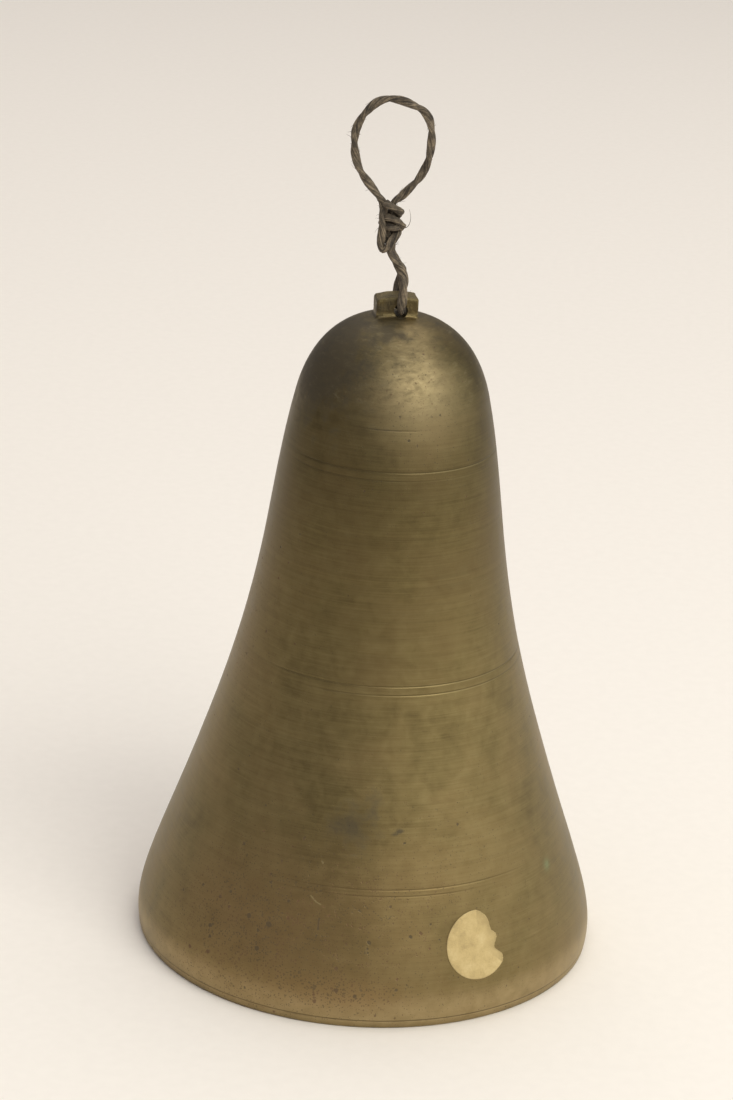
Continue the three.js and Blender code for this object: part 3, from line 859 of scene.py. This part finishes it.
def casting_rings():
    """Rings of (x, y, z) points from the inner apex down, round the lip, and up the outside to the crown."""
    azimuth = np.arange(SEGMENTS) * 2 * math.pi / SEGMENTS
    inner_start = np.interp(-INNER_END, -OUTER[:, 0], OUTER_ALONG)
    inner_along = np.linspace(inner_start, INNER_END, INNER_RINGS)
    radius, height, out_r, out_z = on_outer(inner_along)
    wall = wall_at(height)
    ring_sections = list(zip(radius - wall * out_r, height - wall * out_z))
    lip_in, lip_out, edge = LIP_RADIUS - BOW_WALL, LIP_RADIUS, 0.35
    for k in range(5):
        angle = k / 4 * math.pi / 2
        ring_sections.append((lip_in + edge * (1 - math.cos(angle)), edge * (1 - math.sin(angle))))
    for share in (0.25, 0.5, 0.75):
        ring_sections.append((lip_in + edge + (lip_out - lip_in - 2 * edge) * share, 0.0))
    for k in range(4):
        angle = k / 4 * math.pi / 2
        ring_sections.append((lip_out - edge * (1 - math.sin(angle)), edge * (1 - math.cos(angle))))
    rings = []
    for r, z in ring_sections:
        rings.append(np.stack([r * np.cos(azimuth), r * np.sin(azimuth), np.full(SEGMENTS, z)], 1))
    for along in ring_places():
        rings.append(outer_ring(along, azimuth))
    return rings


def turning_marks(along):
    """Ridges that the lathe tool left, a few hundredths of a millimetre high."""
    fine = noise.noise(Vector((along * 0.9, 3.1, 0)))
    return 0.010 * fine + 0.012 * noise.noise(Vector((along * 0.21, 7.7, 0)))


def outer_ring(along, azimuth):
    radius, height, out_r, out_z = on_outer(along)
    sink = groove_depth(along, azimuth)
    fade = smoothstep(np.float64(along), 0.3, 2.0)
    points = []
    for angle, depth in zip(azimuth, sink):
        x, y = radius * math.cos(angle), radius * math.sin(angle)
        dent = 0.03 * bump_noise((x, y, height), 14, 1.0) + 0.01 * bump_noise((x, y, height), 3.2, 5.0)
        lift = (turning_marks(along) + dent * fade) - depth
        r = radius + lift * out_r
        points.append((r * math.cos(angle), r * math.sin(angle), height + lift * out_z))
    return np.array(points)


def lug_outline(grow, azimuth):
    """Rounded rectangle of the lug, grown by some millimetres, where rays from its centre meet it."""
    half_w, half_d, corner = LUG_HALF_WIDTH + grow, LUG_HALF_DEPTH + grow, max(LUG_CORNER + grow, 0.05)
    local = azimuth - LUG_YAW
    c, s = np.abs(np.cos(local)), np.abs(np.sin(local))
    flat = np.minimum(half_w / np.maximum(c, 1e-9), half_d / np.maximum(s, 1e-9))
    px, py = flat * c, flat * s
    near_corner = (px > half_w - corner) & (py > half_d - corner)
    cx, cy = half_w - corner, half_d - corner
    along_ray = c * cx + s * cy
    reach = along_ray + np.sqrt(np.maximum(corner**2 - (cx**2 + cy**2 - along_ray**2), 0))
    length = np.where(near_corner, reach, flat)
    x, y = length * np.cos(local), length * np.sin(local)
    return x, y


def lug_to_bell(x, y):
    c, s = math.cos(LUG_YAW), math.sin(LUG_YAW)
    return LUG_CENTRE.x + x * c - y * s, LUG_CENTRE.y + x * s + y * c


def lug_top(x):
    rise = np.interp(x, [-LUG_HALF_WIDTH, LUG_CREST_X, LUG_HALF_WIDTH], [LUG_LEFT, LUG_CREST, LUG_RIGHT])
    soft = 0.22 * np.exp(-((x - LUG_CREST_X) / 0.9) ** 2)
    return rise - soft


def crown_rings():
    """Rings that lead from the dome, up a small fillet and the sides of the lug, to the middle of its top."""
    azimuth = np.arange(SEGMENTS) * 2 * math.pi / SEGMENTS
    rings = []
    base_x, base_y = lug_to_bell(*lug_outline(LUG_FILLET, azimuth))
    for share in np.linspace(0, 1, 18)[1:]:
        x = CROWN_RADIUS * np.cos(azimuth) * (1 - share) + base_x * share
        y = CROWN_RADIUS * np.sin(azimuth) * (1 - share) + base_y * share
        wave = [0.03 * bump_noise((a, b, 0), 4.0, 2.0) for a, b in zip(x, y)]
        rings.append(np.stack([x, y, dome_height(np.hypot(x, y)) + np.array(wave) * share], 1))
    for k in range(1, 6):
        angle = k / 5 * math.pi / 2
        x, y = lug_to_bell(*lug_outline(LUG_FILLET * (1 - math.sin(angle)), azimuth))
        z = dome_height(np.hypot(x, y)) + LUG_FILLET * (1 - math.cos(angle))
        rings.append(np.stack([x, y, z], 1))
    local_x, local_y = lug_outline(0, azimuth)
    x, y = lug_to_bell(local_x, local_y)
    foot = dome_height(np.hypot(x, y)) + LUG_FILLET
    top = lug_top(local_x) - LUG_EDGE
    for share in np.linspace(0, 1, 10)[1:]:
        rings.append(np.stack([x, y, foot + (top - foot) * share], 1))
    for k in range(1, 6):
        angle = k / 5 * math.pi / 2
        local_x, local_y = lug_outline(-LUG_EDGE * (1 - math.cos(angle)), azimuth)
        x, y = lug_to_bell(local_x, local_y)
        rings.append(np.stack([x, y, lug_top(local_x) - LUG_EDGE * (1 - math.sin(angle))], 1))
    for share in (0.85, 0.7, 0.55, 0.4, 0.25, 0.1):
        inner_x, inner_y = local_x * share, local_y * share
        x, y = lug_to_bell(inner_x, inner_y)
        rings.append(np.stack([x, y, lug_top(inner_x)], 1))
    return rings


def worn_lug(ring):
    """Uneven, filed and rubbed faces of the lug."""
    moved = ring.copy()
    for i, (x, y, z) in enumerate(ring):
        if z > 121.3 and math.hypot(x, y) < 5.2:
            push = 0.07 * bump_noise((x, y, z), 2.2, 9.0) + 0.03 * bump_noise((x, y, z * 3), 0.9, 4.0)
            centre = Vector((x - LUG_CENTRE.x, y - LUG_CENTRE.y, (z - 122.5) * 0.8)).normalized()
            moved[i] += np.array(centre) * push
    return moved


def make_casting(material):
    rings = casting_rings() + [worn_lug(ring) for ring in crown_rings()]
    points = [tuple(p) for ring in rings for p in ring]
    ends = [(0, 0, APEX_HEIGHT - CROWN_WALL), (*lug_to_bell(0, 0), float(lug_top(0.0)))]
    points, faces = close_tube(points, len(rings), SEGMENTS, ends)
    casting = add_object("bell_casting", points, faces, material)
    drill_lug(casting, material)
    drill_pockets(casting, material)
    paint_casting(casting)
    return place(casting, "bell", "bell_metal", "bell_shell")


def cut(piece, tool):
    modifier = piece.modifiers.new("cut", "BOOLEAN")
    modifier.operation = "DIFFERENCE"
    modifier.solver = "EXACT"
    modifier.object = tool
    bpy.context.view_layer.update()
    dependency = bpy.context.evaluated_depsgraph_get()
    result = bpy.data.meshes.new_from_object(piece.evaluated_get(dependency))
    piece.modifiers.remove(modifier)
    piece.data = result
    bpy.data.objects.remove(tool)


def drill_lug(casting, material):
    """The hole through the lug, its mouths rounded by wear."""
    profile = [(0, -LUG_HALF_DEPTH - 1.5)]
    for y in np.linspace(-LUG_HALF_DEPTH - 1.5, LUG_HALF_DEPTH + 1.5, 31):
        flare = 0.10 * smoothstep(abs(y), LUG_HALF_DEPTH - 0.7, LUG_HALF_DEPTH + 0.1)
        profile.append((HOLE_RADIUS + flare, y))
    profile.append((0, LUG_HALF_DEPTH + 1.5))
    points, faces = lathe(profile, 48)
    turned = []
    for x, y, z in points:
        wx, wy = lug_to_bell(x + HOLE_X, -z)
        turned.append((wx, wy, HOLE_HEIGHT + y))
    cut(casting, add_object("drill", turned, faces, material))


def drill_pockets(casting, material):
    """The two pockets in the crown that hold the legs of the staple."""
    for x in (-STAPLE_LEG_X, STAPLE_LEG_X):
        radius = STAPLE_WIRE + 0.08
        points, faces = lathe([(0, 115.0), (radius, 115.0), (radius, 119.1), (0, 119.1)], 32)
        cut(casting, add_object("drill", [(px + x, py, pz) for px, py, pz in points], faces, material))


def patch(azimuth, height, at_azimuth, at_height, half_angle, half_height):
    """1 at a place on the bell, falling to 0 at the edge of a patch round it."""
    turn = (azimuth - at_azimuth * DEGREE + math.pi) % (2 * math.pi) - math.pi
    distance = (turn / (half_angle * DEGREE)) ** 2 + ((height - at_height) / half_height) ** 2
    return np.exp(-distance)


def paint_casting(casting):
    """Where the surface is worn, stained, pitted and cut, and where shade and highlights are painted, as
    values at its points.
    """
    flat = np.zeros(len(casting.data.vertices) * 3, np.float32)
    casting.data.vertices.foreach_get("co", flat)
    x, y, z = (flat.reshape(-1, 3) / MM).T
    radius = np.hypot(x, y)
    azimuth = np.arctan2(x, -y)
    dome = np.interp(-radius, -OUTER[:, 0], OUTER_ALONG)
    along = np.where((z > 112) & (radius > 4.6), dome, along_of_height(z))
    lug_base, lug_reach = 121.2, 5.4
    on_lug = (z > lug_base) & (radius < lug_reach)
    outer_radius = np.interp(z, OUTER[:, 1], OUTER[:, 0])
    outside = (radius > outer_radius - 0.8) | on_lug

    def at(*place):
        return patch(azimuth, z, *place)

    set_attribute(casting, "along", along + np.where(on_lug, z * 3, 0))
    # Lip band of wear, and a painted reflection of the pale floor in its swell.
    lip_band = (0.55 + 0.45 * smoothstep(z, 0.2, 1.6)) * (1 - smoothstep(z, 3.6, 7.8))
    set_attribute(casting, "lip_wear_and_sheen", lip_band * outside)
    set_attribute(casting, "lug", on_lug * smoothstep(z, 121.4, 122.2))
    # Painted highlight on the front of the lug's foot, partly rubbed metal.
    lug_foot = on_lug * (1 - smoothstep(z, 121.0, 121.8)) * (y < 0)
    # Painted highlight on the lug's top edges, partly wear.
    lug_edge = 0.3 * on_lug * smoothstep(z, 123.5, 124.3)
    # Painted highlight on the lower flanks of the incised lines on the lit right side.
    groove_glints = 0.40 * groove_line(along, azimuth, -0.06) * at(38, 82, 34, 40)
    set_attribute(casting, "bright", np.clip(lug_foot * 0.9 + lug_edge + groove_glints, 0, 1) * outside)
    rubbed = on_lug * 0.6 + 1.1 * at(9, 116.0, 13, 2.6)
    set_attribute(casting, "rubbed", np.clip(rubbed, 0, 1))
    # Painted highlight area on the front of the dome; it also holds back the painted shade and roughens and
    # brushes the metal there.
    set_attribute(casting, "highlight_area", np.clip(1.3 * at(14, 112, 30, 9), 0, 1))
    crown = smoothstep(z, 103, 112) * (1 - 0.6 * at(50, 110, 45, 9)) * outside * ~on_lug
    set_attribute(casting, "crown", crown)
    # Dirt and painted shade a little above the middle of each incised line.
    set_attribute(casting, "groove_dirt_and_shade", groove_line(along, azimuth, 0.09) * outside)

    smear = 0.75 * at(-4, 35, 8, 4.2) + 0.3 * at(1, 40, 4, 2)
    dent = 1.5 * at(10.0, 34.6, 1.1, 0.4) + 0.8 * at(8.2, 34.1, 1.2, 0.25)
    crown_line = 0.3 * np.exp(-(((z - 104.7) / 0.16) ** 2)) * at(-1, 104.6, 16, 9)
    # Dark tarnish on the crown, partly painted shade on its upper left, which faces away from the lights.
    crown_shade = 1.1 * at(-58, 113, 42, 9) + 0.5 * at(-8, 119.6, 30, 1.2)
    crown_shade += 1.1 * at(-78, 118.6, 20, 1.1)
    crown_spots = at(-9, 118.8, 6, 0.7) + at(9, 118.9, 7, 0.6)
    lug_grime = on_lug * smoothstep(z, 121.3, 122.2) * 0.22
    stain_and_shade = smear + dent + crown_line + crown_shade + 0.5 * crown_spots + lug_grime
    stain_and_shade = stain_and_shade + np.where(outside, 0, 0.85)
    set_attribute(casting, "stain_and_shade", np.clip(stain_and_shade, 0, 1))

    low_left = 1.3 * at(-34, 15, 34, 15) + at(-4, 6.5, 14, 2.5)
    everywhere = 0.5 + 0.25 * np.sin(azimuth * 2 + 1) * np.sin(z * 0.07)
    set_attribute(casting, "pitted", np.clip(everywhere + 0.6 * low_left, 0.1, 1.3))
    set_attribute(casting, "verdigris", np.clip(at(62.6, 22.4, 1.6, 0.9), 0, 1))


# -------- clapper and staple

def link_height():
    return STAPLE_BOTTOM + STAPLE_WIRE + GAP + LINK_WIRE - LINK_RING


def eye_height():
    return link_height() - LINK_RING + LINK_WIRE + GAP + EYE_WIRE - EYE_RING


def hammered(points, size, depth, seed):
    """Moves points a little, as hand forging leaves them."""
    moved = []
    for p in points:
        shift = Vector([bump_noise(p, size, seed + step) for step in (0, 3, 6)])
        moved.append(Vector(p) + shift * depth)
    return moved


def make_staple(material):
    bend = STAPLE_BOTTOM + STAPLE_LEG_X
    route = [(-STAPLE_LEG_X, 0, STAPLE_TOP), (-STAPLE_LEG_X, 0, bend + 1)]
    for turn in range(180, 361, 15):
        angle = turn * DEGREE
        route.append((STAPLE_LEG_X * math.cos(angle), 0, bend + STAPLE_LEG_X * math.sin(angle)))
    route += [(STAPLE_LEG_X, 0, bend + 1), (STAPLE_LEG_X, 0, STAPLE_TOP)]
    points, faces = sweep(smooth_path(route, 0.3), lambda i: circle(STAPLE_WIRE, 24))
    staple = add_object("staple", hammered(points, 2.5, 0.05, 1), faces, material)
    place(staple, "bell", "staple_iron", "crown_staple")


RING_POINTS = 96


def ring_route(radius, height, across):
    """A ring standing upright across the bell: across is (1, 0) or (0, 1)."""
    route = []
    for i in range(RING_POINTS):
        angle = 2 * math.pi * i / RING_POINTS
        reach = radius * math.sin(angle)
        route.append((across[0] * reach, across[1] * reach, height + radius * math.cos(angle)))
    return route


def make_link(material):
    """A ring of bent wire, closed with a butted joint."""
    butt, pinch = 30, 0.12
    route = ring_route(LINK_RING, link_height(), (0, 1))
    points, faces = sweep(route, lambda i: circle(LINK_WIRE - pinch * (i == butt), 20), closed=True)
    link = add_object("link", hammered(points, 2.0, 0.04, 4), faces, material)
    place(link, "link", "staple_iron", "clapper_link")


def make_rod(material):
    rivet_top = BALL_HEIGHT - BALL_RADIUS - GAP
    collar = BALL_HEIGHT + BALL_RADIUS + GAP
    eye_bottom = eye_height() - EYE_RING
    profile = [(0, rivet_top - RIVET_THICKNESS)]
    for k in range(1, 9):
        angle = k / 8 * math.pi / 2
        profile.append((RIVET_RADIUS * math.sin(angle), rivet_top - RIVET_THICKNESS * math.cos(angle)))
    profile += [(RIVET_RADIUS - 0.05, rivet_top + 0.05), (ROD_RADIUS, rivet_top + 0.08)]
    profile += [(ROD_RADIUS, z) for z in np.linspace(rivet_top + 1, collar - 1, 12)]
    profile += [(ROD_RADIUS, collar - 0.05), (COLLAR_RADIUS - 0.15, collar), (COLLAR_RADIUS, collar + 0.15)]
    top = collar + COLLAR_THICKNESS
    profile.append((COLLAR_RADIUS, top - 0.1))
    for k in range(9):
        share = k / 8
        ease = 1 - (1 - share) ** 2
        profile.append((COLLAR_RADIUS - (COLLAR_RADIUS - ROD_RADIUS) * ease, top + COLLAR_TAPER * share))
    profile += [(ROD_RADIUS, z) for z in np.linspace(top + COLLAR_TAPER + 1, eye_bottom - 2.5, 90)]
    profile += [(ROD_RADIUS + 0.1, eye_bottom - 1), (ROD_RADIUS + 0.05, eye_bottom - 0.2), (0, eye_bottom)]
    points, faces = lathe(profile, 32)
    rod = add_object("clapper_stem", hammered(points, 5.0, 0.08, 2), faces, material)
    place(rod, "clapper", "clapper_iron", "clapper_rod")

    route = ring_route(EYE_RING, eye_height(), (1, 0))
    points, faces = sweep(route, lambda i: circle(EYE_WIRE, 24), closed=True)
    eye = add_object("clapper_eye", hammered(points, 2.5, 0.05, 8), faces, material)
    place(eye, "clapper", "clapper_iron", "clapper_rod")


def make_ball(material):
    """The ball, slightly out of round, with a flat belt worn where it strikes."""
    start = math.asin(BALL_HOLE / BALL_RADIUS)
    profile = []
    for k in range(73):
        angle = start + (math.pi - 2 * start) * k / 72
        radius = BALL_RADIUS * math.sin(angle)
        belt = 0.12 * math.exp(-((math.cos(angle) / 0.16) ** 2))
        profile.append((radius - belt, BALL_HEIGHT - BALL_RADIUS * math.cos(angle)))
    low, high = profile[0][1], profile[-1][1]
    bore = ROD_RADIUS + 0.12
    profile += [(bore + 0.05, high - 0.1)] + [(bore, z) for z in np.linspace(high - 0.4, low + 0.4, 12)]
    profile += [(bore + 0.05, low + 0.1)]
    points, faces = lathe(profile, 96, closed=True)
    ball = add_object("ball", hammered(points, 6.0, 0.10, 6), faces, material)
    place(ball, "clapper", "clapper_iron", "clapper_ball")


# -------- paper label

def label_reach(angle):
    """Distance from the dot's centre to its edge, which is round except where it is torn."""
    tear = sorted((math.atan2(y, x), math.hypot(x, y)) for x, y in LABEL_TEAR)
    if not tear[0][0] < angle < tear[-1][0]:
        return LABEL_RADIUS, 0.0
    reach = float(np.interp(angle, [a for a, _ in tear], [r for _, r in tear]))
    rough = 0.12 * noise.noise(Vector((angle * 9, 2.0, 0))) + 0.09 * noise.noise(Vector((angle * 31, 5.0, 0)))
    return reach + rough, 1.0


def make_label(material):
    """A thin torn disc that follows the flare, lifting slightly along the tear."""
    count, steps, paper, glue = 220, 26, 0.09, 0.03
    middle = float(along_of_height(LABEL_HEIGHT))
    points, torn_at = [], []
    for layer in (0, 1):
        for k in range(1, steps + 1):
            for i in range(count):
                angle = 2 * math.pi * i / count
                angle = angle - 2 * math.pi if angle > math.pi else angle
                reach, torn = label_reach(angle)
                share = k / steps
                across, up = reach * share * math.cos(angle), reach * share * math.sin(angle)
                lift = glue + 0.10 * torn * share**8 + 0.05 * max(0, share - 0.8) + paper * layer
                lift += 0.02 * bump_noise((across, up, 0), 1.4, 3.0)
                points.append(on_flare(middle, across, up, lift))
                torn_at.append(torn * share**3)
    faces = []
    sheet = steps * count
    for layer in (0, 1):
        faces += [tuple(f + layer * sheet for f in face) for face in ring_faces(steps, count)]
        points.append(on_flare(middle, 0, 0, glue + paper * layer))
        torn_at.append(0)
        centre = len(points) - 1
        first = layer * sheet
        faces += [(first + (i + 1) % count, first + i, centre) for i in range(count)]
    edge = (steps - 1) * count
    for i in range(count):
        j = (i + 1) % count
        faces.append((edge + i, edge + j, sheet + edge + j, sheet + edge + i))
    label = add_object("label", points, faces, material)
    set_attribute(label, "torn", torn_at)
    place(label, "bell", "label_paper", "paper_label")


def on_flare(middle, across, up, lift):
    """A point on the bell's flare, up and across from the label's centre, lifted off the metal."""
    radius, height, out_r, out_z = on_outer(middle + up)
    azimuth = LABEL_AZIMUTH + across / on_outer(middle)[0]
    radius += lift * out_r
    return radius * math.sin(azimuth), -radius * math.cos(azimuth), height + lift * out_z


# -------- floor and light

def make_stage():
    half = 2.5
    mesh = bpy.data.meshes.new("floor")
    corners = [(-half, -half, 0), (half, -half, 0), (half, half, 0), (-half, half, 0)]
    mesh.from_pydata(corners, [], [(0, 1, 2, 3)])
    mesh.materials.append(floor_paper())
    floor = put_in_scene("floor", mesh)


def add_softbox(name, location, aim, size, power, colour):
    data = bpy.data.lights.new(name, "AREA")
    data.shape = "RECTANGLE"
    data.size, data.size_y = size
    data.energy = power
    data.color = colour
    light = put_in_scene(name, data)
    light.location = location
    light.rotation_mode = "QUATERNION"
    light.rotation_quaternion = (Vector(aim) - Vector(location)).to_track_quat("-Z", "Y")


def make_light():
    """A bright room: a window high to the front right, a pale wall at the right, a ceiling, dim elsewhere."""
    make_room()
    bpy.context.scene.view_settings.view_transform = "Standard"
    add_softbox("window", (0.56, -0.72, 0.86), (0, 0, 0.07), (0.88, 0.80), 8.6, (1.0, 1.0, 0.94))
    add_softbox("wall", (1.25, -0.1, 0.42), (0, 0, 0.06), (1.6, 0.8), 3.2, (0.97, 1.0, 0.96))
    add_softbox("ceiling", (0.0, 0.55, 1.35), (0, 0, 0.05), (1.3, 1.0), 6.4, (1.0, 0.97, 0.93))


def make_room():
    """Walls that are darker towards the floor, cooler on the left, and a paler ceiling."""
    world = bpy.data.worlds.new("room")
    world.use_nodes = True
    tree = world.node_tree
    kinds = ("TexCoord", "SeparateXYZ", "MapRange", "MapRange", "Mix")
    direction, parts, rise, across, tint = (tree.nodes.new("ShaderNode" + kind) for kind in kinds)
    tint.data_type = "RGBA"
    background = tree.nodes["Background"]
    for node, values in (
        (rise, {"From Min": 0.0, "From Max": 0.75, "To Min": 0.22, "To Max": 0.58}),
        (across, {"From Min": -1.0, "From Max": 0.1}),
        (tint, {"A": (0.78, 0.77, 0.86, 1), "B": (1.0, 0.95, 0.89, 1)}),
    ):
        for socket, value in values.items():
            node.inputs[socket].default_value = value
    for source, output, target, socket in (
        (direction, "Generated", parts, "Vector"),
        (parts, "X", across, "Value"),
        (across, "Result", tint, "Factor"),
        (tint, "Result", background, "Color"),
        (parts, "Z", rise, "Value"),
        (rise, "Result", background, "Strength"),
    ):
        tree.links.new(source.outputs[output], target.inputs[socket])
    bpy.context.scene.world = world


# -------- the scene

make_camera()
make_twine(twine_fibre())
make_casting(bell_metal())
iron = forged_iron("clapper_iron", srgb(74, 68, 60), srgb(70, 54, 38))
make_staple(forged_iron("staple_iron", srgb(72, 65, 57), srgb(84, 57, 36)))
make_link(bpy.data.materials["staple_iron"])
make_rod(iron)
make_ball(iron)
make_label(label_paper())
make_stage()
make_light()
